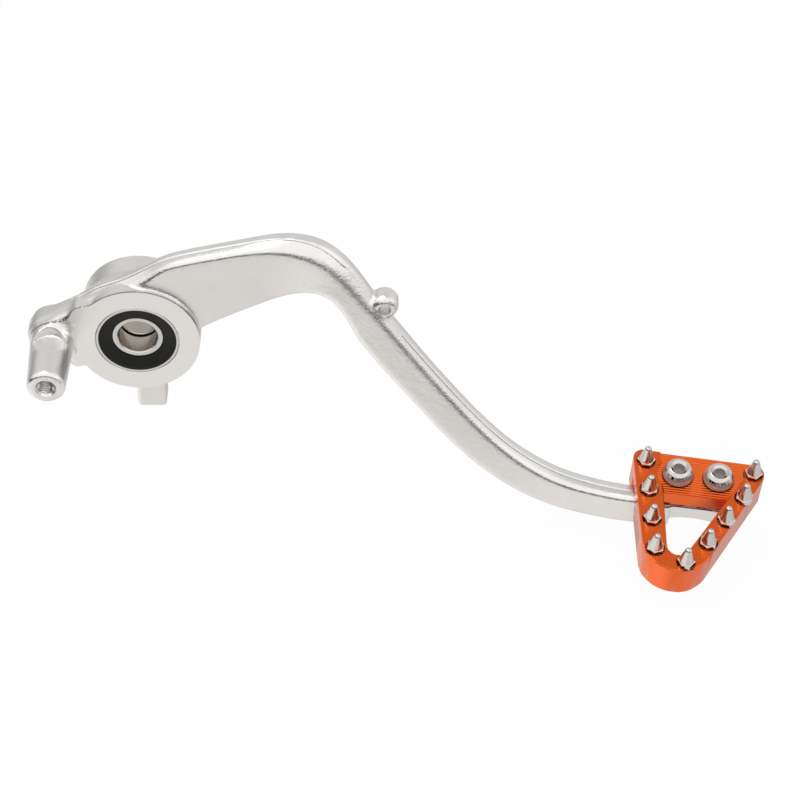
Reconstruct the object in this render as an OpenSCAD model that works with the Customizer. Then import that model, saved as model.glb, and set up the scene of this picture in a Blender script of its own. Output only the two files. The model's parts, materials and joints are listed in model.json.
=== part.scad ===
// Rear brake pedal for an off-road motorbike: a forged lever that swings on two sealed
// ball bearings, with a billet tread plate on its tip and nine screw-in grip studs.
// X runs along the lever to the tread, Y runs along the pivot away from the rider's
// boot, Z is up. The origin is on the pivot axis, just behind the forging's parting plane.

/* [Hub] */
// Length of the hub along the pivot
hub_len = 24; // [23.6:0.1:26]
// Distance of the eye face from the origin
hub_front = 10.5; // [9.5:0.1:11]
// Radius of the hub's outer boss, which carries the machined eye face
hub_r = 23.9; // [22:0.1:27]
// Radius of the hub's inner boss
hub_back_r = 22.3; // [20.5:0.1:23]
// Chamfer round the hub's end faces
hub_chamfer = 0.8; // [0.3:0.1:1.5]
// Width of the shoulder between the two bearings
shoulder_w = 1.6; // [1.2:0.1:1.9]
// Radial height of that shoulder
shoulder_h = 2.2; // [1.5:0.1:2.4]

/* [Bearings] */
// Bore of each bearing
bearing_bore = 15; // [14.6:0.1:15.6]
// Outside diameter of each bearing
bearing_od = 32; // [31:0.1:33]
// Width of each bearing
bearing_w = 9; // [8.8:0.1:9.6]
// Thickness of a race at the bottom of its groove
race_wall = 1.82; // [1.6:0.02:2]
// Balls in each bearing
ball_count = 9; // [7:1:9]
// Radial clearance between a ball and its races
ball_play = 0.05; // [0.03:0.01:0.08]
// Height of the race shoulders above the groove
race_h = 0.85; // [0.6:0.05:0.95]
// Radial width of the outer ring's face
outer_face = 1.05; // [0.8:0.05:1.3]
// Radial width of the inner ring's face
inner_face = 2.02; // [1.9:0.02:2.3]
// Thickness of a seal
seal_t = 1; // [0.8:0.1:1.1]
// How far a seal lies below the bearing's face
seal_inset = 0.2; // [0.1:0.05:0.3]
// Gap between a seal's lip and the inner ring
lip_gap = 0.08; // [0.05:0.01:0.12]
// Radial thickness of the ball cage
cage_t = 1.3; // [1:0.1:1.6]
// Width of the cage on each side of a ball
cage_side = 0.5; // [0.4:0.05:0.6]
// Gap between a ball and its cage pocket
pocket_gap = 0.1; // [0.05:0.01:0.15]
// Radial thickness of the distance ring between the inner rings
spacer_t = 1.4; // [1:0.1:1.8]
// Radial step from the bearings' bore to the distance ring's bore
spacer_step = 0.9; // [0.6:0.1:1.2]

/* [Dust seals] */
// Radial thickness of the steel rim round a dust seal
case_t = 1.1; // [0.8:0.1:1.4]
// How far a dust seal lies below the hub's end face
dust_inset = 0.15; // [0.1:0.05:0.3]
// Gap between a dust seal's lip and the edge of the inner ring
dust_gap = 0.25; // [0.2:0.05:0.4]
// Gap between a dust seal's rubber and the bearing
dust_back = 0.1; // [0.05:0.01:0.2]
// Height of the dust seal's lip
dust_lip = 0.5; // [0.4:0.05:0.8]

/* [Arm] */
// Distance of the parting plane in front of the origin
parting = 3; // [2.6:0.1:3.4]
// Thickness of the forging in front of the parting line
web_front = 4.9; // [4.5:0.1:5.3]
// Thickness of the forging behind the parting line
web_back = 5; // [4.5:0.1:5.5]
// Extra thickness behind the parting line in the elbow
elbow_back = 1.5; // [0.5:0.1:3]
// Where along the arm the elbow is thickest
elbow_x = 80; // [70:1:88]
// Fall of the draft from the parting ridge to the back edges
back_fall = 0.9; // [0.5:0.1:1.4]
// Depth of the lower parting ridge below the front edge
ridge_low = 1.2; // [0.8:0.1:1.8]
// Radius of the forging's upper edges
edge_r = 2.6; // [1.8:0.1:3]
// Radius of the forging's lower edges
low_r = 1.6; // [1:0.1:2.4]
// Where the arm starts to lean out towards the boot
lean_start = 60; // [52:1:70]
// Sideways lean of the arm past that place, as a slope
lean_slope = 0.217; // [0.18:0.005:0.24]

/* [Push rod post] */
// Distance of the post from the pivot
post_x = 32.3; // [31:0.1:36]
// Length from the hub's middle to the post's end face
post_reach = 38; // [34:0.5:42]
// Radius of the post at its root
post_root_r = 8.6; // [8:0.1:9.6]
// Radius of the post at its end
post_end_r = 7.3; // [6.8:0.1:7.8]
// Tapping radius of the push rod thread
rod_thread_r = 2.5; // [2.4:0.05:2.6]
// Depth of that thread
rod_thread_len = 16; // [12:0.5:18]
// Radius of the round spot face in the top of the post's root
spot_r = 6.2; // [5.5:0.1:6.6]
// Height of the spot face's floor
spot_z = 4; // [3:0.1:5.5]
// Distance of the spot face from the hub's middle
spot_y = 18; // [17:0.1:19]

/* [Stop lug] */
// Reach of the stop lug from the pivot
stop_reach = 37.5; // [34:0.5:40]
// Width of the stop lug
stop_w = 11.3; // [9:0.1:13]
// Thickness of the stop lug
stop_t = 10; // [8:0.1:11]
// Distance of the stop lug's middle from straight below the pivot
stop_x = 3.4; // [0:0.1:6]
// Distance of the stop lug's front face from the parting plane
stop_front = 6; // [5:0.1:7.5]
// Radius of the stop lug's corners
stop_r = 2; // [1:0.1:3]

/* [Eyelet] */
// Radius of the round eyelet on the arm's back
eyelet_r = 5.3; // [4.8:0.1:5.8]
// Length of the eyelet
eyelet_len = 9; // [8:0.1:10]
// Radius of the hole through the eyelet
eyelet_hole_r = 2.5; // [2:0.1:2.8]

/* [Tread plate] */
// Height of the rim
plate_t = 15; // [13.5:0.1:17]
// Width of the two rails
rail_w = 9.2; // [8.6:0.1:10]
// Distance from the screws' line to the plate's back edge
plate_back = 9.8; // [8.8:0.1:10.5]
// Distance from the screws' line to the centre of the nose
nose_y = 31.5; // [29:0.1:35]
// Sideways place of the nose's centre
nose_x = -6.5; // [-8:0.1:-5]
// Radius of the nose
nose_r = 13.8; // [13:0.1:14.6]
// Half the plate's width at its back
plate_half = 25.6; // [25:0.1:28]
// Depth of the cross bar's floor below the rails
recess = 0.9; // [0.6:0.1:2]
// Thickness of the cross bar
bar_t = 7.4; // [6:0.1:8]
// Distance from the screws' line to the cross bar's front face
bar_front = 9; // [8.8:0.1:10]
// Radius of the scallops milled round the screw heads
scallop_r = 8.3; // [7.6:0.1:9]
// Tilt of the tread towards the boot, in degrees
tread_tilt = 10; // [8:1:12]
// Fall of the tread towards its tip, in degrees
tread_fall = 4; // [3:0.5:5]
// Turn of the tread seen from above, in degrees
tread_turn = 5.5; // [4:0.5:7]

/* [Screws] */
// Distance between the two tread screws
screw_gap = 15.8; // [15:0.1:17]
// Diameter of a screw's thread
screw_d = 6; // [5:0.1:6]
// Diameter of a screw's head
head_d = 10.9; // [10:0.1:11.4]
// Height of a screw's head
head_h = 5; // [4:0.1:5.6]
// Width across the flats of the hexagon socket
socket_af = 4; // [3:0.1:5]
// Depth of the socket
socket_depth = 2.6; // [2:0.1:3]
// Length of a screw under its head
screw_len = 14; // [11:0.5:15]
// Gap between a screw and its clearance hole
screw_play = 0.2; // [0.1:0.05:0.4]

/* [Grip studs] */
// Height of a stud above the plate
stud_h = 8.8; // [7:0.1:10.5]
// Width across the flats of a stud's collar
stud_af = 6; // [5:0.1:6.4]
// Height of the collar above its seat
collar_h = 2.6; // [1.5:0.1:3]
// Depth of the round seat under a collar
seat_depth = 0.8; // [0.5:0.1:1.2]
// Gap between a collar's corners and its seat
seat_gap = 0.35; // [0.2:0.05:0.5]
// Diameter of a stud's thread
stud_d = 4; // [3.4:0.1:4.4]
// Length of that thread below the seat
stud_len = 6; // [4:0.5:8]
// Flat radius left at a stud's point
point_r = 0.45; // [0.3:0.05:0.8]

/* [Hidden] */
$fn = 64;
hub_mid = hub_len / 2 - hub_front;
bore_r = bearing_bore / 2;
pocket_r = bearing_od / 2;
pitch_r = (bore_r + pocket_r) / 2;
ball_r = (pocket_r - bore_r) / 2 - race_wall - ball_play;
cage_w = 2 * (ball_r + cage_side);
seal_od = bearing_od - 2 * outer_face;
seal_id = bearing_bore + 2 * (inner_face + lip_gap);
spacer_bore = bearing_bore + 2 * spacer_step;
spacer_od = spacer_bore + 2 * spacer_t;
dust_room = (hub_len - shoulder_w) / 2 - bearing_w;
inner_groove = pitch_r - ball_r - ball_play;
outer_groove = pitch_r + ball_r + ball_play;
inner_land = inner_groove + race_h;
outer_land = outer_groove - race_h;
bearing_mid = (shoulder_w + bearing_w) / 2;
through_r = pocket_r - shoulder_h;
screw_tip = recess + bar_t;
collar_r = stud_af / 2 / cos(30);
seat_r = collar_r + seat_gap;
silver = [0.83, 0.82, 0.81];
orange = [0.92, 0.41, 0.16];
steel = [0.62, 0.60, 0.58];
black = [0.14, 0.14, 0.14];
bronze = [0.70, 0.62, 0.48];

// The screws' midpoint on the plate's top face, where the tread's own frame starts
tread_at = [215.8, -29.9, -52.6];

// Front edge of the forging, one station a row, from the heel to the tread: upper edge x
// and z, lower edge x and z, then the height of the parting ridge above the upper edge
stations = [
    [-22, 13.4, -15, -10, 1.4],
    [-14, 17.6, -7, -12, 2.8],
    [-4.5, 21.4, 2, -12, 3],
    [4.5, 27.2, 12, -9, 2.3],
    [12.1, 33.3, 23.2, 2.5, 0.7],
    [20.8, 36.1, 28.6, 6.2, 0.6],
    [30.4, 38.3, 37.3, 10.8, 0.7],
    [42.7, 40.7, 46.1, 15.1, 1],
    [53.8, 41.1, 52.6, 18.2, 2.8],
    [63.2, 39.4, 59.6, 21, 4.5],
    [70.7, 36.2, 65.4, 22.4, 5.2],
    [77.1, 31.4, 70.4, 22, 4.7],
    [82.6, 25.3, 75.4, 19, 3.9],
    [88, 18.9, 79.8, 12.4, 2.7],
    [94.1, 11.4, 84.2, 3.4, 1.7],
    [101.1, 2.1, 90.7, -6.1, 1.6],
    [109.5, -8.8, 99.2, -17, 1.4],
    [119, -20.7, 108.8, -29, 1.4],
    [129.9, -33.4, 120, -42.5, 1.3],
    [141.6, -44.6, 133.2, -55, 1.2],
    [153.2, -52.4, 147, -64, 1.2],
    [164.7, -57, 161.4, -69.4, 1.1],
    [178.2, -59, 177, -71.6, 0.6],
    [192, -59.5, 191.6, -72.1, 0.4],
    [205, -59.7, 204.6, -72.4, 0.4]
];

// Stud places in the tread's frame: down the left rail, round the nose, up the right rail
studs_left = 4;
studs_right = 3;
left_first = [-20.6, 4.4];
left_last = [-15, -36.3];
nose_stud = [-3, -41.2];
right_first = [5, -31.2];
right_last = [18.1, -8];
corner_stud = [21.4, 4];
function between(a, b, i, n) = a + (b - a) * i / (n - 1);
stud_at = [
    for (i = [0:studs_left - 1]) between(left_first, left_last, i, studs_left),
    nose_stud,
    for (i = [0:studs_right - 1]) between(right_first, right_last, i, studs_right),
    corner_stud
];

// Turns a shape made along Z so that it stands along -Y, its base at y = from
module along_y(from) {
    translate([0, from, 0]) rotate([90, 0, 0]) children();
}

// Puts a shape made in the tread's frame in its place on the lever
module on_tread() {
    translate(tread_at) rotate([tread_tilt, tread_fall, -tread_turn]) children();
}

// Sweep of the forged arm

// Smooth value at part t of the way from row i to row i + 1
function smooth(rows, i, t) =
    let (n = len(rows) - 1, a = rows[max(i - 1, 0)], b = rows[i],
        c = rows[min(i + 1, n)], d = rows[min(i + 2, n)])
    b * (1 + t * t * (2 * t - 3)) + c * t * t * (3 - 2 * t)
    + (c - a) / 2 * t * (1 - t) * (1 - t) - (d - b) / 2 * t * t * (1 - t);

steps = 4;
rows = [
    for (i = [0:len(stations) - 2]) for (j = [0:steps - 1]) smooth(stations, i, j / steps),
    stations[len(stations) - 1]
];

// Length reached past the place a, eased in over w on each side of it
function past(x, a, w) = x < a - w ? 0 : x > a + w ? x - a : pow(x - a + w, 2) / (4 * w);

// Place of the parting plane at length x: the arm leans out, then turns along the tread
lean_end = 190;
function parting_y(x) =
    -lean_slope * past(x, lean_start, 12) + (lean_slope - tan(tread_turn)) * past(x, lean_end, 6);

// One rounded corner of the section between the points a and b
function corner(a, v, b, r) =
    let (p = v + (a - v) * min(r / norm(a - v), 0.45), q = v + (b - v) * min(r / norm(b - v), 0.45))
    [for (t = [0:0.25:1]) p * (1 - t) * (1 - t) + v * 2 * t * (1 - t) + q * t * t];

// Thickness behind the parting plane at length x
elbow_len = 26;
function back(x) = web_back + elbow_back * exp(-pow((x - elbow_x) / elbow_len, 2));

// Section of the forging: two drafted halves that meet in a ridge, h high at the front
// and b thick behind the ridge, which stands t high
function section(h, b, t) =
    let (f = web_front, low = -h / 2 - ridge_low, tf = [-f, h / 2], tr = [0, h / 2 + t],
        tb = [b, h / 2 + t - back_fall], bb = [b, low + back_fall], br = [0, low],
        bf = [-f, -h / 2])
    concat(corner(bf, tf, tr, edge_r), [tr], corner(tr, tb, bb, edge_r),
        corner(tb, bb, br, low_r), [br], corner(br, bf, tf, low_r));

// A section stood up at one row of the arm
function ring(row) =
    let (up = [row[0] - row[2], row[1] - row[3]], h = norm(up), d = up / h,
        mid = [row[0] + row[2], row[1] + row[3]] / 2, y = parting_y(mid[0]) - parting)
    [for (p = section(h, back(mid[0]), row[4])) [mid[0] + d[0] * p[1], y + p[0], mid[1] + d[1] * p[1]]];

module arm() {
    rings = [for (row = rows) ring(row)];
    n = len(rings[0]);
    m = len(rings);
    points = [for (r = rings) each r];
    sides = [for (i = [0:m - 2]) for (j = [0:n - 1])
        let (a = i * n + j, b = i * n + (j + 1) % n) each [[a, b, b + n], [a, b + n, a + n]]];
    first = [for (j = [n - 1:-1:0]) j];
    last = [for (j = [0:n - 1]) (m - 1) * n + j];
    polyhedron(points, concat([first], sides, [last]), convexity = 6);
}

// Lever forging: hub, arm, push rod post, stop lug, eyelet and tread pad in one piece

module hub() {
    c = hub_chamfer;
    step = parting - web_back;
    far = hub_front - hub_len;
    rotate([90, 0, 0]) rotate_extrude(convexity = 4) polygon([
        [0, far], [hub_back_r - c, far], [hub_back_r, far + c], [hub_back_r, step - 2],
        [hub_r, step], [hub_r, hub_front - c], [hub_r - c, hub_front], [0, hub_front]
    ]);
}

// Heel between the hub and the post: the end of the eye face, and the web behind it
module heel() {
    along_y(-parting) linear_extrude(hub_front - parting) hull() {
        translate([-21, 12.6]) circle(3.4);
        translate([-23.4, -9.8]) circle(3.4);
        translate([0, 18.4]) circle(4);
    }
    along_y(2 - parting) linear_extrude(5.6) hull() {
        translate([-post_x - 0.3, -1]) circle(post_root_r + 1);
        translate([-11, 17.4]) circle(3.4);
        translate([-16.6, -10.6]) circle(3.4);
    }
    along_y(-parting) linear_extrude(hub_front - parting - 1) hull() {
        translate([-post_x - 0.2, -0.8]) circle(post_root_r + 0.3);
        translate([-20, 13.2]) circle(2.6);
        translate([-18, -10]) circle(2.6);
    }
}

module post() {
    translate([-post_x, 0, 0]) {
        along_y(1) cylinder(r1 = post_root_r + 0.3, r2 = post_end_r, h = post_reach + 1 - 1.2);
        along_y(1.2 - post_reach) cylinder(r1 = post_end_r, r2 = post_end_r - 1.2, h = 1.2);
    }
}

module stop_lug() {
    far = stop_reach - stop_r;
    x = stop_w / 2 - stop_r;
    translate([stop_x, 0, 0]) along_y(stop_t - stop_front) linear_extrude(stop_t) hull() {
        translate([-stop_w / 2, -hub_back_r + 4]) square([stop_w, 1]);
        for (s = [-1, 1]) translate([s * x, -far]) circle(stop_r);
    }
}

eyelet_at = [94.2, -7.8, 16.8];
module eyelet() {
    c = 2.1;
    r = eyelet_r;
    translate(eyelet_at) {
        along_y(eyelet_len / 2) rotate_extrude() polygon([[0, 0], [r - c, 0], [r - c / 3, c / 3],
            [r, c], [r, eyelet_len - c], [r - c / 3, eyelet_len - c / 3], [r - c, eyelet_len],
            [0, eyelet_len]]);
        rotate([0, 218, 0]) cylinder(r1 = r - 1.6, r2 = r + 0.4, h = r + 4);
    }
}

// Pad under the cross bar, with its lower face arched
pad_left = -14;
pad_end = 16;
pad_t = 8.6;
pad_gap = 0.4;
arch_r = 28;
arch_h = 1.2;
module pad() {
    top = -screw_tip;
    low = top - pad_t;
    front = -bar_front - 0.4;
    depth = plate_back + bar_front;
    on_tread() intersection() {
        translate([0, front + depth, 0]) rotate([90, 0, 0]) linear_extrude(depth)
            difference() {
                polygon([[pad_left - 3, top], [pad_end, top], [pad_end, low + 1],
                    [pad_end - 1, low], [pad_left - 3, low - 1]]);
                translate([0, low + arch_h - arch_r]) circle(arch_r);
            }
        translate([0, 0, low - 2]) linear_extrude(pad_t + 4) window_outline(pad_gap);
    }
}

module lever_forging() {
    color(silver) difference() {
        union() {
            arm();
            hub();
            heel();
            post();
            stop_lug();
            eyelet();
            pad();
        }
        translate([0, hub_mid, 0]) {
            for (side = [0, 180]) rotate([0, 0, side])
                along_y(-shoulder_w / 2) cylinder(r = pocket_r, h = hub_len);
            along_y(hub_len) cylinder(r = through_r, h = hub_len * 2);
        }
        translate([-post_x, 0, 0])
            along_y(rod_thread_len - post_reach) cylinder(r = rod_thread_r, h = rod_thread_len + 1);
        translate([-post_x, -spot_y, spot_z]) cylinder(r = spot_r, h = 20);
        translate([eyelet_at[0], eyelet_at[1] + 10, eyelet_at[2]])
            rotate([90, 0, 0]) cylinder(r = eyelet_hole_r, h = 20);
        on_tread() {
            for (s = [-1, 1]) translate([s * screw_gap / 2, 0, -screw_tip - 20])
                cylinder(d = screw_d, h = 21);
            translate([pad_left - 1.6, -30, -screw_tip]) cube([60, 60, 30]);
        }
    }
}

// Bearings, each made round the pivot axis with its middle at the origin

module revolve(points) {
    rotate([90, 0, 0]) rotate_extrude(convexity = 4) polygon(points);
}

module outer_ring() {
    w = bearing_w / 2;
    s = w - seal_inset - seal_t;
    c = 0.4;
    color(steel) difference() {
        revolve([[outer_land, -s], [seal_od / 2, -s], [seal_od / 2, -w], [pocket_r - c, -w],
            [pocket_r, c - w], [pocket_r, w - c], [pocket_r - c, w], [seal_od / 2, w],
            [seal_od / 2, s], [outer_land, s]]);
        groove();
    }
}

module inner_ring() {
    w = bearing_w / 2;
    s = w - seal_inset - seal_t;
    lip = seal_id / 2 - lip_gap;
    c = 0.4;
    color(steel) difference() {
        revolve([[bore_r, c - w], [bore_r + c, -w], [lip, -w], [lip, -s], [inner_land, -s],
            [inner_land, s], [lip, s], [lip, w], [bore_r + c, w], [bore_r, w - c]]);
        groove();
    }
}

// Ball groove of both races
module groove() {
    rotate([90, 0, 0]) rotate_extrude() translate([pitch_r, 0]) circle(ball_r + ball_play);
}

module around_balls() {
    for (i = [0:ball_count - 1]) rotate([0, i * 360 / ball_count, 0])
        translate([pitch_r, 0, 0]) children();
}

module balls() {
    color(steel) around_balls() sphere(ball_r);
}

module cage() {
    a = pitch_r - cage_t / 2;
    b = pitch_r + cage_t / 2;
    w = cage_w / 2;
    color(bronze) difference() {
        revolve([[a, -w], [b, -w], [b, w], [a, w]]);
        around_balls() rotate([0, 90, 0])
            cylinder(r = ball_r + pocket_gap, h = cage_t * 3, center = true);
    }
}

// Seal of one face: side is 1 for the face towards -Y
module seal(side) {
    top = bearing_w / 2 - seal_inset;
    low = top - seal_t;
    a = seal_id / 2;
    b = seal_od / 2;
    lip = 0.35;
    color(black) mirror([0, side < 0 ? 1 : 0, 0])
        revolve([[a, low], [b, low], [b, top], [b - 0.9, top], [b - 1.2, top - lip],
            [a + 1.2, top - lip], [a + 0.8, top], [a, top]]);
}

module bearing_piece(side, piece) {
    translate([0, hub_mid + side * bearing_mid, 0]) {
        if (piece == "outer_ring") outer_ring();
        if (piece == "inner_ring") inner_ring();
        if (piece == "balls") balls();
        if (piece == "cage") cage();
        if (piece == "outer_seal") seal(-side);
        if (piece == "inner_seal") seal(side);
    }
}

// Dust seal of one hub end, the lip at the bearing and the mouth at the hub's end face:
// side is -1 for the end towards the rider's boot
module at_hub_end(side) {
    translate([0, hub_mid + side * (shoulder_w / 2 + bearing_w), 0])
        mirror([0, side > 0 ? 1 : 0, 0]) children();
}

module seal_case(side) {
    a = pocket_r - case_t;
    t = dust_room - dust_inset;
    c = 0.25;
    color(steel) at_hub_end(side) revolve([[a, 0], [pocket_r, 0], [pocket_r, t - c],
        [pocket_r - c, t], [a, t]]);
}

module dust_seal(side) {
    a = bore_r + inner_face + dust_gap;
    b = pocket_r - case_t;
    t = dust_room - dust_inset - 0.05;
    color(black) at_hub_end(side) revolve([[a, dust_back], [b, dust_back], [b, t], [b - 0.6, t],
        [b - 1, t - 0.35], [a + 1.1, dust_back + dust_lip + 0.15], [a + 0.7, dust_back + dust_lip],
        [a, dust_back + dust_lip]]);
}

module distance_ring() {
    w = shoulder_w / 2;
    color(steel) translate([0, hub_mid, 0]) revolve([[spacer_bore / 2, -w], [spacer_od / 2, -w], [spacer_od / 2, w],
        [spacer_bore / 2, w]]);
}

// Tread plate, made flat with its top face at z = 0

module plate_outline() {
    back_r = 4;
    right_r = 5.5;
    hull() {
        translate([back_r - plate_half, plate_back - back_r]) circle(back_r);
        translate([plate_half - right_r, plate_back - 0.6 - right_r]) circle(right_r);
        translate([nose_x, -nose_y]) circle(nose_r);
    }
}

// Inner edges of the rails, run on past the back edge, drawn in by a gap
module window_outline(gap = 0) {
    nose_in = 4.4;
    y0 = -nose_y - 2.4;
    hull() {
        translate([nose_x + 0.3, y0]) circle(nose_in - gap);
        translate([-plate_half + rail_w + 1.2 + gap, 12]) circle(0.1);
        translate([plate_half - rail_w / 4 - gap, 12]) circle(0.1);
    }
}

// Way for the arm through the left rail, and on to the pad below the cross bar
module notch() {
    y0 = -bar_front - 3.6;
    x0 = -plate_half - 5;
    inner = pad_left - 1.4;
    w = web_front + web_back + 3.3;
    translate([x0, y0, -plate_t - 1]) {
        cube([inner - x0, w, plate_t + 3.6 - screw_tip]);
        cube([inner - x0 + 7, w, plate_t + 1 - screw_tip]);
    }
}

module tread_plate() {
    color(orange) on_tread() difference() {
        translate([0, 0, -plate_t]) linear_extrude(plate_t) plate_outline();
        difference() {
            translate([0, 0, -plate_t - 1]) linear_extrude(plate_t + 2) window_outline();
            translate([-60, -bar_front, -screw_tip]) cube([120, 40, bar_t]);
        }
        for (s = [-1, 1]) translate([s * screw_gap / 2, 0, -recess]) {
            cylinder(r = scallop_r, h = recess + 1);
            translate([0, 0, -bar_t - 1]) cylinder(r = screw_d / 2 + screw_play, h = bar_t + 2);
        }
        notch();
        for (p = stud_at) translate([p[0], p[1], 0]) {
            translate([0, 0, -seat_depth]) cylinder(r = seat_r, h = seat_depth + 1);
            translate([0, 0, -seat_depth - stud_len - 1]) cylinder(d = stud_d, h = stud_len + 2);
        }
    }
}

// Tread screws

module screw() {
    r = head_d / 2;
    color(steel) difference() {
        union() {
            rotate_extrude() polygon(concat(
                [[0, 0], [r - 0.3, 0], [r, 0.3], [r, head_h * 0.5]],
                [for (a = [15:15:75]) [r - (r - 3) * (1 - cos(a)), head_h * (0.5 + 0.5 * sin(a))]],
                [[3, head_h], [0, head_h]]
            ));
            translate([0, 0, -screw_len]) cylinder(d = screw_d, h = screw_len + 0.1);
        }
        translate([0, 0, head_h - socket_depth])
            cylinder(d = socket_af / cos(30), h = socket_depth + 1, $fn = 6);
    }
}

module tread_screws() {
    on_tread() for (s = [-1, 1]) translate([s * screw_gap / 2, 0, -recess]) screw();
}

// Grip stud number i, screwed into its seat

module grip_stud(i) {
    p = stud_at[i - 1];
    top = stud_h + seat_depth;
    base_r = stud_af / 2 - 0.1;
    color(steel) on_tread() translate([p[0], p[1], -seat_depth]) {
        intersection() {
            rotate(15 * i) cylinder(r = collar_r, h = collar_h, $fn = 6);
            cylinder(r1 = collar_r + 1.6, r2 = stud_af / 2, h = collar_h);
        }
        rotate_extrude() polygon([[0, collar_h - 0.1], [base_r, collar_h - 0.1], [base_r, collar_h],
            [base_r * 0.86, collar_h + (top - collar_h) * 0.3], [point_r + 0.25, top - 0.5],
            [point_r * 0.6, top - 0.1], [0, top]]);
        translate([0, 0, -stud_len]) cylinder(d = stud_d, h = stud_len + 0.1);
    }
}

lever_forging();
for (side = [-1, 1]) for (piece = ["outer_ring", "inner_ring", "balls", "cage", "outer_seal",
    "inner_seal"]) {
    name = str(side < 0 ? "front" : "rear", "_bearing_", piece);
    bearing_piece(side, piece);
}
for (side = [-1, 1]) {
    name = side < 0 ? "front" : "rear";
    dust_seal(side);
    seal_case(side);
}
distance_ring();
tread_plate();
tread_screws();
for (i = [1:len(stud_at)]) {
    grip_stud(i);
}
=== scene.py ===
# %% [markdown]
# # A forged rear brake pedal
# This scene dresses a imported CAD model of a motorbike's rear brake pedal. The frame holds
# every solid in its true place, so nothing has to be fitted: a finish goes on a node, and
# where the real surface is softer than the solid, a new piece is built over it.

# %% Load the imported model
import json
import math

import bmesh
import bpy
from mathutils import Euler, Matrix, Vector, noise

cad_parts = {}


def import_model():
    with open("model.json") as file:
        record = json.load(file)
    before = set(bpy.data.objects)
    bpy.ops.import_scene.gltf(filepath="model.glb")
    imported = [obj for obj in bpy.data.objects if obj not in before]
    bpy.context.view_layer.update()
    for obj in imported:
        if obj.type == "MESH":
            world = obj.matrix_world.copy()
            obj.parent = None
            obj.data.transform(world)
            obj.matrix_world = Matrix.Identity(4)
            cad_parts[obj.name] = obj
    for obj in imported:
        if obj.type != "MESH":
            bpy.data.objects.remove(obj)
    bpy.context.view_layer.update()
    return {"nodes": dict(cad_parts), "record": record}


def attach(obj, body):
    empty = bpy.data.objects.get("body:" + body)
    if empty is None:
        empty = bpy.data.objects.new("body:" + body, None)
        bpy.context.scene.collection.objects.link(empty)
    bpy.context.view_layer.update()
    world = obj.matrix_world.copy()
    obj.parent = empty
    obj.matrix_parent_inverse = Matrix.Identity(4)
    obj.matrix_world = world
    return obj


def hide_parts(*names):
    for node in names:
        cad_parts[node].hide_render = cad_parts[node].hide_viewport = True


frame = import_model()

MM = 0.001
nodes = frame["nodes"]
print("nodes in the frame:", len(nodes))

# %% [markdown]
# Shader maths reads best as ordinary sums. The class below wraps one output socket, and
# each operator adds the Math node that does it. The reflected forms let a plain number
# stand on the left, as in 1 - mask. Everything else comes from Finish.node, which takes a
# node's type, its settings and what goes into its sockets.

# %% A socket that can be written into sums
class Wire:
    def __init__(self, finish, socket):
        self.finish = finish
        self.socket = socket

    def math(self, operation, *others):
        values = dict(enumerate((self,) + others))
        return self.finish.node("ShaderNodeMath", {"operation": operation}, values)

    def __add__(self, other):
        return self.math("ADD", other)

    def __sub__(self, other):
        return self.math("SUBTRACT", other)

    def __mul__(self, other):
        return self.math("MULTIPLY", other)

    def __rsub__(self, other):
        return (self * -1.0).math("ADD", other)

    __radd__ = __add__
    __rmul__ = __mul__

    def __gt__(self, limit):
        return self.math("GREATER_THAN", limit)

    def __lt__(self, limit):
        return self.math("LESS_THAN", limit)

    def power(self, exponent):
        return self.math("POWER", exponent)

    def wave(self):
        return self.math("SINE")

    def most(self, other):
        return self.math("MAXIMUM", other)

    def least(self, other):
        return self.math("MINIMUM", other)

    def between(self, low, high):
        """0 at low and 1 at high, held inside that range."""
        return ((self - low) * (1.0 / (high - low))).most(0.0).least(1.0)


# %% A material under construction
class Finish:
    def __init__(self, name, tree=None):
        self.material = None
        if tree is None:
            self.material = bpy.data.materials.new(name)
            self.material.use_nodes = True
            tree = self.material.node_tree
        self.tree = tree
        tree.nodes.clear()

    def node(self, kind, settings=None, inputs=None, output=0):
        made = self.tree.nodes.new(kind)
        for key, value in (settings or {}).items():
            setattr(made, key, value)
        for key, value in (inputs or {}).items():
            target = made.inputs[key]
            if isinstance(value, Wire):
                self.tree.links.new(value.socket, target)
            else:
                target.default_value = value
        return Wire(self, made.outputs[output])

    def split(self, vector):
        """A vector's x, y and z, as three wires."""
        node = self.node("ShaderNodeSeparateXYZ", inputs={0: vector}).socket.node
        return [Wire(self, node.outputs[i]) for i in range(3)]

    def place(self):
        """The row frame's x, y and z in millimetres, as three wires."""
        where = self.node("ShaderNodeTexCoord", output="Object")
        return [part * 1000.0 for part in self.split(where)]

    def noise(self, size_mm, detail=2.0, roughness=0.5, stretch=(1, 1, 1)):
        """Noise whose grains are about size_mm across."""
        where = self.node("ShaderNodeTexCoord", output="Object")
        scaled = self.node("ShaderNodeMapping", inputs={"Vector": where, "Scale": stretch})
        return self.node("ShaderNodeTexNoise", inputs={
            "Vector": scaled, "Scale": 1000.0 / size_mm,
            "Detail": detail, "Roughness": roughness})

    def mix(self, factor, a, b):
        """Colour a where factor is 0, colour b where it is 1."""
        inputs = {0: factor, 6: a, 7: b}
        return self.node("ShaderNodeMix", {"data_type": "RGBA"}, inputs, output=2)

    def bump(self, height, depth_mm):
        inputs = {"Height": height, "Distance": depth_mm * MM, "Strength": 1.0}
        return self.node("ShaderNodeBump", inputs=inputs)

    def finish(self, **sockets):
        """Ends the material in one Principled shader with these socket values."""
        names = {key.replace("_", " "): value for key, value in sockets.items()}
        surface = self.node("ShaderNodeBsdfPrincipled", inputs=names)
        self.end("ShaderNodeOutputMaterial", surface)
        return self.material

    def end(self, kind, surface):
        last = self.tree.nodes.new(kind)
        self.tree.links.new(surface.socket, last.inputs["Surface"])


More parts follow.
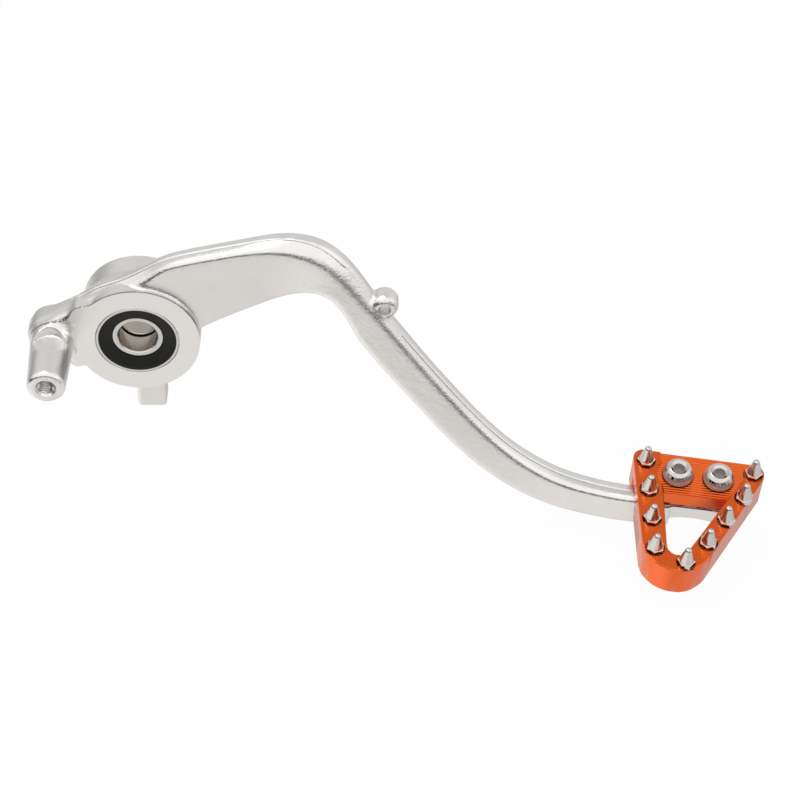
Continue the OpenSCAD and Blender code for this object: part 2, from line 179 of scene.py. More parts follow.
def rgb(red, green, blue):
    """A colour from screen values of 0 to 255, turned into light values."""
    def light(value):
        value /= 255.0
        return value / 12.92 if value <= 0.04045 else ((value + 0.055) / 1.055) ** 2.4
    return (light(red), light(green), light(blue), 1.0)


# %% [markdown]
# ## The sizes that the scene shares with the CAD
# A few real sizes are repeated here, because new pieces are cut and threaded by them: the
# eye face, the bearing seats, the push rod post and the tread's own frame.

# %% Real sizes in millimetres
EYE_FACE = -10.5
REAR_FACE = 13.5
HUB_R = 23.9
EYE_CUT_R = 24.3
REAR_CUT_R = 25.2
REAR_R = 22.3
SEAT_R = 16.0
SHOULDER = (0.7, 2.3)
SHOULDER_R = 13.8
POST_X = -32.3
POST_END = -38.0
POST_Z = 0.0
THREAD_MAJOR = 3.1
THREAD_MINOR = 2.5
THREAD_PITCH = 1.0
THREAD_DEPTH = 16.0
EYELET = (94.2, -7.8, 16.8)
EYELET_HOLE = 2.5
TREAD_AT = Vector((215.8, -29.9, -52.6))
TREAD_TURN = Euler([math.radians(a) for a in (10.0, 4.0, -5.5)])
TREAD_FRAME = Matrix.Translation(TREAD_AT * MM) @ TREAD_TURN.to_matrix().to_4x4()
PARTING = -3.0

# %% Helpers that make and trim meshes
def new_object(name, mesh):
    made = bpy.data.objects.new(name, mesh)
    bpy.context.scene.collection.objects.link(made)
    return made


def lathe(profile, segments=96, turn=None):
    """A closed mesh made by turning (radius, height) points in mm about Z."""
    bm = bmesh.new()
    rings = []
    for radius, height in profile:
        if radius < 1e-6:
            rings.append([bm.verts.new((0, 0, height * MM))])
            continue
        ring = []
        for i in range(segments):
            a = 2 * math.pi * i / segments
            ring.append(bm.verts.new((
                radius * MM * math.cos(a), radius * MM * math.sin(a), height * MM)))
        rings.append(ring)
    for low, high in zip(rings, rings[1:]):
        for i in range(segments):
            j = (i + 1) % segments
            if len(low) == 1:
                bm.faces.new((low[0], high[j], high[i]))
            elif len(high) == 1:
                bm.faces.new((low[i], low[j], high[0]))
            else:
                bm.faces.new((low[i], low[j], high[j], high[i]))
    bmesh.ops.recalc_face_normals(bm, faces=bm.faces)
    if turn is not None:
        bm.transform(turn)
    mesh = bpy.data.meshes.new("lathe")
    bm.to_mesh(mesh)
    bm.free()
    return mesh


def along_y(x, y, z):
    """Puts a shape turned about Z so that its axis runs along -Y from (x, y, z) mm."""
    return Matrix.Translation(Vector((x, y, z)) * MM) @ Matrix.Rotation(math.radians(90), 4, "X")


def join(meshes):
    """One mesh that holds all the others."""
    bm = bmesh.new()
    for mesh in meshes:
        bm.from_mesh(mesh)
    joined = bpy.data.meshes.new("joined")
    bm.to_mesh(joined)
    bm.free()
    return joined


def modified(obj):
    """The object's mesh with its modifiers applied, as a new mesh."""
    view = bpy.context.evaluated_depsgraph_get()
    return bpy.data.meshes.new_from_object(obj.evaluated_get(view))


def cut(mesh, cutter_mesh):
    """The first mesh with the second one taken out of it."""
    body = new_object("blank", mesh)
    tool = new_object("tool", cutter_mesh)
    step = body.modifiers.new("cut", "BOOLEAN")
    step.operation = "DIFFERENCE"
    step.solver = "MANIFOLD"
    step.object = tool
    result = modified(body)
    bpy.data.objects.remove(body)
    bpy.data.objects.remove(tool)
    return result


# %% [markdown]
# ## The forging's skin
# A drop forging has no sharp inside corners: metal flows, so each boss runs into the arm
# in a fillet. Filleting every joint by hand would take long. Here the solid is copied, its
# holes are plugged, a voxel remesh turns it into one even skin, and smoothing lets the
# corners run. The machined faces and holes are cut afterwards, so they stay crisp.

# %% Blocks and balls that fill a hollow
def swept(circles, front, rear):
    """The convex block round some (x, z, radius) circles in mm, between two places on Y."""
    bm = bmesh.new()
    for x, z, radius in circles:
        for k in range(24):
            a = k * math.pi / 12
            for y in (front, rear):
                bm.verts.new((x * MM + radius * MM * math.cos(a), y * MM,
                              z * MM + radius * MM * math.sin(a)))
    bmesh.ops.convex_hull(bm, input=bm.verts)
    loose = [v for v in bm.verts if not v.link_faces]
    bmesh.ops.delete(bm, geom=loose, context="VERTS")
    mesh = bpy.data.meshes.new("swept")
    bm.to_mesh(mesh)
    bm.free()
    return mesh


def ball(centre, radius):
    turns = [k * math.pi / 12 for k in range(13)]
    arc = [(radius * math.sin(a), -radius * math.cos(a)) for a in turns]
    return lathe(arc, 32, turn=Matrix.Translation(Vector(centre) * MM))


# %% Plug the holes and remesh
VOXEL = 0.58
SOFTEN = 7
plugs = [
    swept([(-21, 12.6, 3.4), (-23.2, -9.6, 3.2), (-12, 0, 8)], EYE_FACE - 1.2, PARTING),
    swept([(-21, 12.0, 3.0), (-23.2, -9.0, 3.0), (-30, 3.0, 6.4)], EYE_FACE + 0.3, PARTING),
    ball((-26.6, -7.4, 6.6), 4.3),
    lathe([(0, 0), (HUB_R, 0), (HUB_R, 10), (0, 10)], turn=along_y(0, EYE_FACE + 8.8, 0)),
    lathe([(0, 0), (18, 0), (18, 22), (0, 22)], turn=along_y(0, REAR_FACE - 1, 0)),
    lathe([(0, 0), (REAR_R - 0.5, 0), (REAR_R, 1), (REAR_R, 8), (0, 8)],
          turn=along_y(0, REAR_FACE + 1.2, 0)),
    lathe([(0, 0), (3.4, 0), (3.4, 18), (0, 18)], turn=along_y(POST_X, POST_END + 18.3, POST_Z)),
    lathe([(0, 0), (3.2, 0), (3.2, 9.4), (0, 9.4)],
          turn=along_y(EYELET[0], EYELET[1] + 4.7, EYELET[2])),
]
blank = new_object("blank", join([nodes["lever_forging"].data] + plugs))
bm = bmesh.new()
bm.from_mesh(blank.data)
bmesh.ops.remove_doubles(bm, verts=bm.verts, dist=1e-7)
bm.to_mesh(blank.data)
bm.free()
skin = blank.modifiers.new("skin", "REMESH")
skin.mode = "VOXEL"
skin.voxel_size = VOXEL * MM
soft = blank.modifiers.new("soften", "SMOOTH")
soft.factor = 0.5
soft.iterations = SOFTEN
skin_mesh = modified(blank)
bpy.data.objects.remove(blank)

# %% Soften the heel's shoulder
SHOULDER_AT = Vector((-26.0, -9.0, 9.0)) * MM
bm = bmesh.new()
bm.from_mesh(skin_mesh)
for reach in (7.0, 6.2, 5.4, 4.6, 3.8):
    soft_spot = [v for v in bm.verts if (v.co - SHOULDER_AT).length < reach * MM]
    for sweep in range(8):
        bmesh.ops.smooth_vert(bm, verts=soft_spot, factor=0.5,
                              use_axis_x=True, use_axis_y=True, use_axis_z=True)
bm.to_mesh(skin_mesh)
bm.free()
print("forged skin:", len(skin_mesh.vertices), "points")

# %% [markdown]
# The eye face, the rear face, the bearing seats and the two holes are machined on the real
# part, after forging. The same order is used here. The eye face's cutter is a disc with two
# wider fingers, because the flat face runs on over the heel.

# %% Machine the faces and holes
BORE_EDGE = 0.15
cutters = [
    lathe([(0, 0), (EYE_CUT_R, 0), (EYE_CUT_R, 6), (0, 6)], turn=along_y(0, EYE_FACE, 0)),
    swept([(-20.6, 12.8, 6.0), (-8, 19, 6)], EYE_FACE - 6, EYE_FACE),
    swept([(-23.2, -11.2, 5.6), (-8, -19, 6)], EYE_FACE - 6, EYE_FACE),
    lathe([(0, 0), (REAR_CUT_R, 0), (REAR_CUT_R, 6), (0, 6)],
          turn=along_y(0, REAR_FACE + 6, 0)),
]
bore_cut = lathe([
    (0, EYE_FACE - 3), (SEAT_R + 3 + BORE_EDGE, EYE_FACE - 3), (SEAT_R, EYE_FACE + BORE_EDGE),
    (SEAT_R, SHOULDER[0]), (SHOULDER_R, SHOULDER[0]), (SHOULDER_R, SHOULDER[1]),
    (SEAT_R, SHOULDER[1]), (SEAT_R, REAR_FACE - BORE_EDGE),
    (SEAT_R + 3 + BORE_EDGE, REAR_FACE + 3), (0, REAR_FACE + 3)],
    turn=Matrix.Rotation(math.radians(-90), 4, "X"))
rod_cut = lathe([
    (0, 0), (2.2, 0), (THREAD_MAJOR, 1.2), (THREAD_MAJOR, THREAD_DEPTH - 0.9),
    (THREAD_MAJOR + 0.9, THREAD_DEPTH), (THREAD_MAJOR + 0.9, THREAD_DEPTH + 1),
    (0, THREAD_DEPTH + 1)],
    segments=48, turn=along_y(POST_X, POST_END + THREAD_DEPTH, POST_Z))
eyelet_cut = lathe([
    (0, 0), (EYELET_HOLE + 1.6, 0), (EYELET_HOLE, 1.6), (EYELET_HOLE, 14), (0, 14)],
    segments=48, turn=along_y(EYELET[0], EYELET[1] + 7, EYELET[2]))
for cutter in cutters + [bore_cut, rod_cut, eyelet_cut]:
    skin_mesh = cut(skin_mesh, cutter)
print("machined skin:", len(skin_mesh.vertices), "points,",
      sum(len(p.vertices) - 2 for p in skin_mesh.polygons), "triangles")

# %% The visible lever
lever = new_object("lever_body", skin_mesh)
skin_mesh.shade_smooth()
skin_mesh.set_sharp_from_angle(angle=math.radians(35))
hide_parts("lever_forging")
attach(lever, "lever")

# %% [markdown]
# ## The parting line
# Two dies press the forging, and a little metal squeezes out between them. When that flash
# is trimmed off, a thin bright line stays on the ridge. A ray is dropped on the skin every
# millimetre along the parting plane, and a low strip is swept through the points it hits.
# The plane leans out with the arm, so its place on Y changes along X. The strip is left out
# at the eyelet, and it is lower in the elbow, where the real line almost fades.

# %% Follow the ridge and sweep the strip
LEAN_START = 60.0
LEAN_END = 190.0
LEAN = 0.217
STRIP_W = 0.40
STRIP_H = 0.17
STRIP_ENDS = ((-26, 80), (101, 192))
ELBOW = (55, 90)
ELBOW_FADE = 0.45


def past(x, start, ease):
    """The length reached past a place, eased in on both sides of it."""
    if x < start - ease:
        return 0.0
    return x - start if x > start + ease else (x - start + ease) ** 2 / (4 * ease)


def parting_y(x):
    turn = LEAN - math.tan(math.radians(5.5))
    return PARTING - LEAN * past(x, LEAN_START, 12) + turn * past(x, LEAN_END, 6)


def ridge_points(start, end):
    points = []
    for step in range(int(end - start) + 1):
        x = start + step
        y = parting_y(x)
        hit, at, normal, face = lever.ray_cast(Vector((x, y, 80)) * MM, Vector((0, 0, -1)))
        if hit:
            points.append(at / MM)
    for sweep in range(2):
        inner = [(a + b * 2 + c) / 4 for a, b, c in zip(points, points[1:], points[2:])]
        points = [points[0]] + inner + [points[-1]]
    return points


def strip_mesh(points):
    bm = bmesh.new()
    rings = []
    count = len(points)
    for i, at in enumerate(points):
        along = (points[min(i + 1, count - 1)] - points[max(i - 1, 0)]).normalized()
        side = Vector((0, 1, 0)) - along * along.y
        side.normalize()
        out = side.cross(along)
        if out.z < 0:
            out = -out
        fade = min(1.0, i / 4, (count - 1 - i) / 4)
        if ELBOW[0] < at.x < ELBOW[1]:
            fade *= ELBOW_FADE
        uneven = 0.75 + 0.5 * noise.noise(at * 0.35)
        lift = STRIP_H * uneven * fade - 0.12 * (1 - fade)
        rings.append([bm.verts.new((at + side * w * STRIP_W + out * h) * MM) for w, h in (
            (-1.6, -0.06), (-0.8, lift * 0.8), (0.0, lift), (0.8, lift * 0.8), (1.6, -0.06))])
    for low, high in zip(rings, rings[1:]):
        for k in range(5):
            m = (k + 1) % 5
            bm.faces.new((low[k], low[m], high[m], high[k]))
    bm.faces.new(rings[0][::-1])
    bm.faces.new(rings[-1])
    bmesh.ops.recalc_face_normals(bm, faces=bm.faces)
    mesh = bpy.data.meshes.new("strip")
    bm.to_mesh(mesh)
    bm.free()
    mesh.shade_smooth()
    return mesh


bpy.context.view_layer.update()
strips = [strip_mesh(ridge_points(start, end)) for start, end in STRIP_ENDS]
parting_line = new_object("parting_line", join(strips))
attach(parting_line, "lever")
print("parting line:", len(parting_line.data.vertices), "points")

# %% [markdown]
# ## The push rod thread
# The post's end is drilled and tapped. A thread is one triangle swept along a helix, so it
# is built as a ring of points that climbs by the pitch each turn. It rises slowly out of the
# bore's wall at the bottom, as a tap's first teeth leave it.

# %% Sweep the thread
def thread_mesh(turns, segments=48):
    bm = bmesh.new()
    root = THREAD_MAJOR + 0.08
    tip = THREAD_MINOR
    section = [(root, -0.49), (tip, -0.07), (tip, 0.07), (root, 0.49)]
    rings = []
    for i in range(int(turns * segments) + 1):
        a = 2 * math.pi * i / segments
        climb = THREAD_PITCH * i / segments
        fade = min(1.0, i / segments, 2 * (turns * segments - i) / segments)
        rings.append([bm.verts.new((
            (root + (r - root) * fade) * MM * math.cos(a),
            (root + (r - root) * fade) * MM * math.sin(a),
            (climb + h) * MM)) for r, h in section])
    for low, high in zip(rings, rings[1:]):
        for k in range(4):
            m = (k + 1) % 4
            bm.faces.new((low[k], low[m], high[m], high[k]))
    bm.faces.new(rings[0][::-1])
    bm.faces.new(rings[-1])
    bmesh.ops.recalc_face_normals(bm, faces=bm.faces)
    bm.transform(along_y(POST_X, POST_END + THREAD_DEPTH - 1.6, POST_Z))
    mesh = bpy.data.meshes.new("thread")
    bm.to_mesh(mesh)
    bm.free()
    return mesh


thread = new_object("rod_thread", thread_mesh(13.5))
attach(thread, "lever")

# %% [markdown]
# ## Screws and grip studs
# The CAD solids have the right places and lengths, but a turned part shines along its
# axis in clean streaks, and only a smooth lathed shape shows them. So the heads and studs
# are turned again with many sides. The socket is a hexagon cut into the turned head, and
# the stud's collar is a short hexagonal bar. The heads are drawn larger than the solids
# have them, 11.96 mm across instead of 10.9, because the photo shows them larger.

# %% Places in the tread's own frame
STUDS = [(-20.6, 4.4), (-18.73, -9.17), (-16.87, -22.73), (-15.0, -36.3), (-3.0, -41.2),
         (5.0, -31.2), (11.55, -19.6), (18.1, -8.0), (21.4, 4.0)]
SEAT = -0.8
SCREWS = [(-7.9, 0.0), (7.9, 0.0)]
SOCKET_R = 2.31
RECESS = -0.9
BAR_FRONT = -9.0
BAR_FOOT = -8.3


def prism(radius, low, high, turn, bevel=0.0):
    """A hexagonal bar in mm, its upper corners turned down by bevel."""
    bm = bmesh.new()
    rings = []
    levels = [(radius, low), (radius, high - bevel)]
    if bevel > 0.0:
        levels.append((radius - bevel * 1.6, high))
    corners = [turn + k * math.pi / 3 for k in range(6)]
    for r, z in levels:
        rings.append([bm.verts.new((r * MM * math.cos(a), r * MM * math.sin(a), z * MM))
                      for a in corners])
    for lower, upper in zip(rings, rings[1:]):
        for k in range(6):
            m = (k + 1) % 6
            bm.faces.new((lower[k], lower[m], upper[m], upper[k]))
    bm.faces.new(rings[0][::-1])
    bm.faces.new(rings[-1])
    mesh = bpy.data.meshes.new("prism")
    bm.to_mesh(mesh)
    bm.free()
    return mesh


def on_tread(name, mesh, place, height, node_name):
    made = new_object(name, mesh)
    mesh.transform(TREAD_FRAME @ Matrix.Translation(Vector((place[0], place[1], height)) * MM))
    mesh.shade_smooth()
    mesh.set_sharp_from_angle(angle=math.radians(32))
    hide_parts(node_name)
    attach(made, "lever")
    return made


# %% Turn the studs
STUD_TOP = 9.6
STUD_COLLAR_R = 3.46


def stud_mesh(turn):
    cone = [(0, 2.4), (2.82, 2.4), (2.84, 3.0), (2.74, 3.3)]
    cone += [(2.74 - 1.42 * t, 3.3 + (STUD_TOP - 1.1 - 3.3) * t) for t in (0.25, 0.5, 0.75, 1.0)]
    cone += [(1.22, STUD_TOP - 0.7), (1.0, STUD_TOP - 0.36), (0.7, STUD_TOP - 0.14),
             (0.35, STUD_TOP - 0.03), (0, STUD_TOP)]
    shank = [(0, -5.9), (1.6, -5.9), (1.95, -5.5), (1.95, 0.3), (0, 0.3)]
    collar = prism(STUD_COLLAR_R, 0.0, 2.65, turn, 0.22)
    return join([lathe(cone, 48), collar, lathe(shank, 24)])


stud_pieces = []
for i, place in enumerate(STUDS):
    name = f"grip_stud_{i + 1}"
    stud_pieces.append(
        on_tread(name + "_turned", stud_mesh(0.5 * i), place, SEAT, name))

# %% Turn the screws
def screw_mesh(turn):
    shank = [(0, -13.8), (2.6, -13.8), (2.95, -13.4), (2.95, -0.4), (3.2, 0.02)]
    head = [(5.5, 0.02), (5.85, 0.3), (5.98, 1.0), (5.92, 1.8), (5.74, 2.6), (5.44, 3.4),
            (5.05, 4.1), (4.6, 4.68), (4.2, 5.02), (3.9, 5.24), (3.7, 5.36), (3.5, 5.4), (0, 5.4)]
    blank = lathe(shank + head, 64)
    countersink = lathe([(0, 4.4), (2.4, 4.4), (3.4, 5.35), (3.4, 7), (0, 7)], 48)
    blank = cut(blank, countersink)
    return cut(blank, prism(SOCKET_R, 3.0, 7.0, turn))


screw_pieces = [
    on_tread(f"tread_screw_{i + 1}", screw_mesh(0.35 + i), place, RECESS,
             "tread_screws")
    for i, place in enumerate(SCREWS)]
print("studs:", len(stud_pieces), "screws:", len(screw_pieces))

# %% [markdown]
# ## The plate's edges
# A milled plate is deburred before it is anodised, so each long edge carries a narrow flat
# that catches the light. The solid's own mesh is copied and its flat faces are merged, and
# only long sharp edges away from the studs' seats get a bevel. At the seats' small steps
# the bevel would cross itself.

# %% Break the plate's sharp edges
EDGE_WIDTH = 0.38
SEAT_CLEAR = 4.2
blank = new_object("plate_blank", nodes["tread_plate"].data.copy())
bm = bmesh.new()
bm.from_mesh(blank.data)
bmesh.ops.remove_doubles(bm, verts=bm.verts, dist=1e-6)
bmesh.ops.dissolve_limit(bm, angle_limit=math.radians(0.5), verts=bm.verts, edges=bm.edges)
flat = TREAD_FRAME.inverted()
weight = bm.edges.layers.float.new("bevel_weight_edge")
rims = 0
for edge in bm.edges:
    sharp = len(edge.link_faces) == 2 and edge.calc_face_angle() > math.radians(40)
    ends = [(flat @ v.co) / MM for v in edge.verts]
    clear = all(math.hypot(e.x - x, e.y - y) > SEAT_CLEAR for e in ends for x, y in STUDS)
    if sharp and clear and edge.calc_length() > 0.8 * MM:
        edge[weight] = 1.0
        rims += 1
bm.to_mesh(blank.data)
bm.free()
edges = blank.modifiers.new("edges", "BEVEL")
edges.width = EDGE_WIDTH * MM
edges.segments = 2
edges.limit_method = "WEIGHT"
edges.use_clamp_overlap = False
edges_even = blank.modifiers.new("even", "WEIGHTED_NORMAL")
edges_even.keep_sharp = True
print("edges to break:", rims)
plate = new_object("tread_plate_finished", modified(blank))
bpy.data.objects.remove(blank)
plate.data.shade_smooth()
plate.data.set_sharp_from_angle(angle=math.radians(24))
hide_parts("tread_plate")
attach(plate, "lever")
print("plate:", len(plate.data.polygons), "faces")

# %% [markdown]
# ## Finishes
# The lever is bright tumbled alloy. A metal shows what is round it, so the finish is
# mostly roughness: the forged skin is a little uneven, the eye face is turned, and the
# edges that roll upwards are pitted, which breaks up the dark line they mirror.
#
# Some shadows in these finishes are painted, not lit: the speckled rim behind the eye
# face, the line where the pad meets the cross bar, the rings at the studs and screws, and
# the cross bar's inner wall. They match one photo and stay put in any other light.

# %% A place in the tread's own frame
def tread_place(f):
    """The place in the tread's own frame in millimetres, as three wires."""
    where = f.node("ShaderNodeTexCoord", output="Object")
    turn = f.node("ShaderNodeVectorRotate", {"rotation_type": "EULER_XYZ", "invert": True}, {
        "Vector": where, "Center": tuple(TREAD_AT * MM), "Rotation": tuple(TREAD_TURN)})
    return [part * 1000.0 - TREAD_AT[i] for i, part in enumerate(f.split(turn))]


# %% Bright forged alloy
def lever_alloy():
    f = Finish("lever_alloy")
    x, y, z = f.place()
    tx, ty, tz = tread_place(f)
    blotch = f.noise(9.0, 3.0, 0.6)
    grain = f.noise(0.55, 3.0, 0.65)
    dimple = f.noise(2.4, 2.0, 0.5)
    turned = (y < EYE_FACE + 0.05).least((x + 28.0) > 0.0).least(x < 30.0)
    colour = f.mix(blotch, (0.70, 0.688, 0.676, 1), (0.77, 0.758, 0.746, 1))
    colour = f.mix(turned * 0.6, colour, (0.90, 0.885, 0.87, 1))
    # Painted shadow: a dark brown line where the pad meets the cross bar.
    contact_shadow = (tz > BAR_FOOT - 0.9).least(tz < BAR_FOOT + 0.3).least(tx > -17.0)
    contact_shadow = contact_shadow.least(ty < BAR_FRONT + 2.0).least(ty > BAR_FRONT - 2.0)
    colour = f.mix(contact_shadow * 0.8, colour, (0.12, 0.035, 0.018, 1))
    up = f.split(f.node("ShaderNodeTexCoord", output="Normal"))[2]
    worn = up.between(0.08, 0.25) * (1.0 - up.between(0.5, 0.75)) * (x < 200.0)
    pitting = f.noise(0.9, 2.0, 0.7)
    # Painted shade: a speckled dark line on the rim just behind the eye face, like the dark
    # reflection of its rolled edge.
    rim = (y > EYE_FACE + 0.02) * (1.0 - y.between(EYE_FACE + 0.45, EYE_FACE + 1.1))
    rim = rim * (x < 24.0).least(z > 3.0) * pitting.between(0.30, 0.50)
    colour = f.mix(rim * 0.8, colour, (0.10, 0.095, 0.09, 1))
    rough = 0.14 + grain * 0.14 + blotch * 0.06 + turned * 0.14
    height = (dimple * 0.6 + grain * 0.6) * (1.0 - turned) + grain * turned * 0.12
    height = height + pitting * worn * 1.3
    return f.finish(Base_Color=colour, Metallic=1.0, Roughness=rough, Normal=f.bump(height, 0.14))


alloy = lever_alloy()
for piece in (lever, thread):
    piece.data.materials.clear()
    piece.data.materials.append(alloy)

# %% [markdown]
# Anodising is a thin, clear, dyed oxide layer on the alloy, so the colour is a metal with
# a little clear coat. The cross bar's floor keeps the cutter's lines. Rings are found by the
# squared distance to the nearest stud or screw, which needs no square root.

# %% Orange anodised billet
STUD_RING = 16.8
HEAD_RING = 40.0


def nearest(tx, ty, places):
    """The squared distance to the nearest of some (x, y) places."""
    near = None
    for x, y in places:
        across = (tx - x) * (tx - x) + (ty - y) * (ty - y)
        near = across if near is None else near.least(across)
    return near


def orange_anodised():
    f = Finish("orange_anodised")
    tx, ty, tz = tread_place(f)
    floor = (tz < -0.5).least(tz > -1.3)
    lines = (ty * (2 * math.pi / 1.1)).wave()
    grain = f.noise(0.5, 2.0, 0.5, stretch=(0.15, 1, 1))
    colour = f.mix(grain, rgb(226, 88, 24), rgb(240, 108, 38))
    rough = 0.16 + grain * 0.12 + floor * 0.04
    bump = f.bump(lines * floor * 0.6 + grain * 0.15, 0.12)
    # Painted shade: near-black rings in the studs' seats and round the foot of each screw head.
    stud_seat_shade = (nearest(tx, ty, STUDS) < STUD_RING).least(tz < -0.1).least(tz > -0.95)
    head_ring_shade = (nearest(tx, ty, SCREWS) < HEAD_RING).least(tz < -0.5)
    colour = f.mix(stud_seat_shade.most(head_ring_shade) * 0.75, colour, (0.05, 0.012, 0.006, 1))
    # Painted shadow on the cross bar's inner wall, growing along the wall.
    inner_wall_shadow = (ty < BAR_FRONT + 0.6).least(ty > BAR_FRONT - 0.6).least(tz < -1.6)
    inner_wall_shadow = inner_wall_shadow * (tx - tz * 0.6).between(2.0, 10.0)
    colour = f.mix(inner_wall_shadow * 0.7, colour, (0.20, 0.035, 0.010, 1))
    return f.finish(Base_Color=colour, Metallic=0.95, Roughness=rough, Normal=bump,
                    Coat_Weight=0.25, Coat_Roughness=0.12)


# %% [markdown]
# The small parts are plain metals and rubber. The screws' sockets, the bearing's bore and
# the gap at the distance ring are painted darker, as shade: little light finds its way out of
# them.
# The foot of each screw head is less metallic: as a clean mirror it showed the orange plate
# much more strongly than the photo does.

# %% Stainless, bearing steel, brass and rubber
BORE_STEEL_R = 7.62


def stainless():
    f = Finish("stainless")
    tx, ty, tz = tread_place(f)
    grain = f.noise(1.2, 3.0, 0.6)
    colour = f.mix(grain, (0.56, 0.53, 0.505, 1), (0.64, 0.615, 0.59, 1))
    across = nearest(tx, ty, SCREWS)
    # Painted shade: the inside of each socket is darker.
    socket = (across < 5.6).least(tz < 4.2)
    colour = f.mix(socket * 0.6, colour, (0.20, 0.175, 0.155, 1))
    # Painted reflection: towards the plate the head's foot turns a less metallic brownish grey,
    # in place of the orange plate's soft mirror image.
    foot = (across < HEAD_RING).least(across > 16.0) * (1.0 - tz.between(0.6, 3.0))
    colour = f.mix(foot, colour, (0.44, 0.39, 0.345, 1))
    return f.finish(Base_Color=colour, Metallic=1.0 - foot * 0.8,
                    Roughness=0.10 + grain * 0.08 + foot * 0.25, Normal=f.bump(grain, 0.02))


def steel(name, dark, light, rough_low, rough_high, size_mm):
    f = Finish(name)
    grain = f.noise(size_mm, 3.0, 0.6)
    colour = f.mix(grain, dark, light)
    rough = rough_low + grain * (rough_high - rough_low)
    return f.finish(Base_Color=colour, Metallic=1.0, Roughness=rough, Normal=f.bump(grain, 0.02))


def bearing_steel():
    f = Finish("bearing_steel")
    x, y, z = f.place()
    radius = (x * x + z * z).power(0.5)
    # Painted shade: the inner ring's bore is darker.
    bore = (radius < BORE_STEEL_R).least(y > -8.1)
    grain = f.noise(0.8, 3.0, 0.6)
    face = f.mix(grain, (0.58, 0.565, 0.55, 1), (0.66, 0.645, 0.63, 1))
    colour = f.mix(bore, face, (0.40, 0.365, 0.33, 1))
    # Painted shade: a near-black band at the gap by the distance ring.
    gap = (radius < 9.9).least(y > SHOULDER[0] - 0.12).least(y < SHOULDER[1] + 0.12)
    colour = f.mix(gap, colour, (0.05, 0.045, 0.04, 1))
    return f.finish(Base_Color=colour, Metallic=1.0, Roughness=0.16 + grain * 0.1,
                    Normal=f.bump(grain, 0.02))


def rubber():
    f = Finish("seal_rubber")
    grain = f.noise(0.35, 3.0, 0.6)
    colour = f.mix(grain, (0.006, 0.006, 0.0055, 1), (0.012, 0.0115, 0.011, 1))
    return f.finish(Base_Color=colour, IOR=1.33, Roughness=0.52 + grain * 0.15,
                    Normal=f.bump(grain, 0.02))


finishes = {
    "orange_anodised": orange_anodised(),
    "stainless": stainless(),
    "bearing_steel": bearing_steel(),
    "cage_brass": steel("cage_brass", (0.55, 0.42, 0.20, 1), (0.62, 0.48, 0.25, 1),
                        0.28, 0.4, 0.8),
    "seal_rubber": rubber(),
}
parting_line.data.materials.clear()
parting_line.data.materials.append(
    steel("trimmed_flash", (0.86, 0.85, 0.83, 1), (0.95, 0.94, 0.92, 1), 0.42, 0.6, 0.9))
for piece in stud_pieces + screw_pieces + [plate]:
    piece.data.materials.clear()
    piece.data.materials.append(finishes["orange_anodised" if piece == plate else "stainless"])
for entry in frame["record"]["subparts"]:
    node = nodes[entry["node"]]
    if entry["material_slot"] in finishes:
        node.data.materials.clear()
        node.data.materials.append(finishes[entry["material_slot"]])

# %% [markdown]
# ## Room and light
# The photograph is a catalogue picture, and bright metal shows the room more than itself.
# The world is painted by direction. Below lies white paper, which the flat faces mirror. In
# front, along the horizon, the room is dark: that draws the thin dark line where a flat face
# rolls into its rim. Overhead is the big soft light that the rims and top faces show.
# Its parts were placed for this one view. Straight from the front the flat metal looks
# greyer than here, and from behind it looks nearly white.

# %% The room
def world():
    room = bpy.data.worlds.new("room")
    bpy.context.scene.world = room
    room.use_nodes = True
    f = Finish("room", room.node_tree)
    way = f.node("ShaderNodeTexCoord", output="Generated")
    side, depth, height = f.split(way)
    front = (depth * -1.0).between(0.1, 0.6)
    back = depth.between(-0.15, 0.45)
    right = side.between(0.3, 0.8)
    overhead = height.between(0.10, 0.34)
    left = (side * -1.0).between(0.3, 0.8)
    horizon = 0.80 - front * 0.70 + right * 0.10 - left * 0.46
    sky = 1.22 - back * 0.38 + right * 0.10 - back * height.between(0.72, 0.86) * 0.24
    level = height.between(-0.38, -0.24)
    paper = 0.90 + (side * -1.0).between(0.1, 0.4) * 0.30 - back * 0.25
    glow = paper + level * (horizon - paper)
    glow = glow + overhead * (sky - glow)
    tint = f.mix(overhead, (1.0, 0.98, 0.96, 1), (1.0, 0.995, 0.985, 1))
    seen = f.node("ShaderNodeLightPath", output="Is Camera Ray")
    colour = f.mix(seen, tint, (1, 1, 1, 1))
    strength = glow + seen * (1.0 - glow)
    shade = f.node("ShaderNodeBackground", inputs={"Color": colour, "Strength": strength})
    f.end("ShaderNodeOutputWorld", shade)


world()

# %% [markdown]
# The floor only carries the part's soft contact with the paper. It lets mirror rays
# through, because the world already holds the paper that the metal should show, and to the
# camera it is nearly pure white, as in the photo.

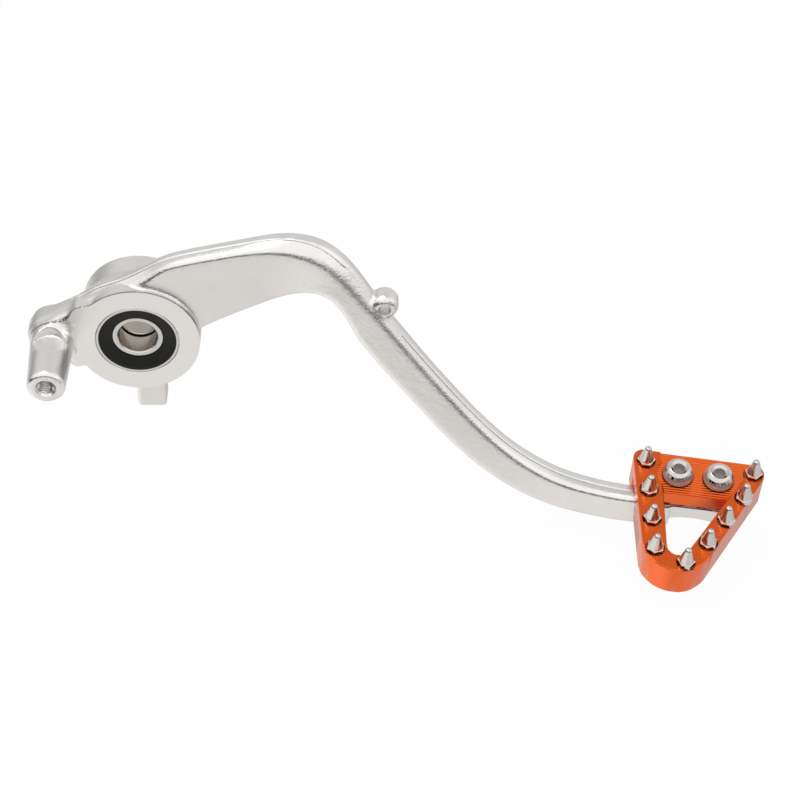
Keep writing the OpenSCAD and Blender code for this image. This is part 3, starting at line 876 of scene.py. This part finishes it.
# %% The floor
FLOOR = -82.0
PAPER_FRONT = -0.42
floor_mesh = bpy.data.meshes.new("floor")
corners = [(-3, PAPER_FRONT), (3, PAPER_FRONT), (3, 4), (-3, 4)]
floor_mesh.from_pydata([(x, y, FLOOR * MM) for x, y in corners], [], [(0, 1, 2, 3)])
floor = new_object("floor", floor_mesh)
f = Finish("floor")
pale = f.node("ShaderNodeBsdfDiffuse", inputs={"Color": (0.86, 0.86, 0.86, 1)})
white = f.node("ShaderNodeEmission", inputs={"Color": (1, 1, 1, 1), "Strength": 1.0})
seen = f.node("ShaderNodeLightPath", output="Is Camera Ray")
shone = f.node("ShaderNodeLightPath", output="Is Glossy Ray")
clear = f.node("ShaderNodeBsdfTransparent")
body = f.node("ShaderNodeMixShader", inputs={0: shone, 1: pale, 2: clear})
surface = f.node("ShaderNodeMixShader", inputs={0: seen * 0.95, 1: body, 2: white})
f.end("ShaderNodeOutputMaterial", surface)
floor_mesh.materials.append(f.material)

# %% [markdown]
# One weak disc lamp above adds the small round glints. The camera stands where the photo's
# did: the ratios of the hub's ellipses give 42 degrees above the horizon, and the small
# change of size from hub to tread gives a long lens at about a metre.

# %% The lamp
lamp_data = bpy.data.lights.new("top_light", "AREA")
lamp_data.shape = "DISK"
lamp_data.size = 0.7
lamp_data.energy = 3.0
lamp = bpy.data.objects.new("top_light", lamp_data)
bpy.context.scene.collection.objects.link(lamp)
lamp.location = (-0.30, 0.15, 1.2)
lamp_aim = Vector((0.09, 0, 0)) - Vector(lamp.location)
lamp.rotation_euler = lamp_aim.to_track_quat("-Z", "Y").to_euler()

# %% The camera
camera_data = bpy.data.cameras.new("camera")
camera_data.sensor_width = 36.0
camera_data.lens = 123.75
camera_data.clip_end = 20.0
camera = bpy.data.objects.new("camera", camera_data)
bpy.context.scene.collection.objects.link(camera)
camera.location = (0.1, -0.8035, 0.6837)
camera.rotation_euler = (math.radians(48.0), 0, 0)
bpy.context.scene.camera = camera
bpy.context.scene.view_settings.view_transform = "Standard"
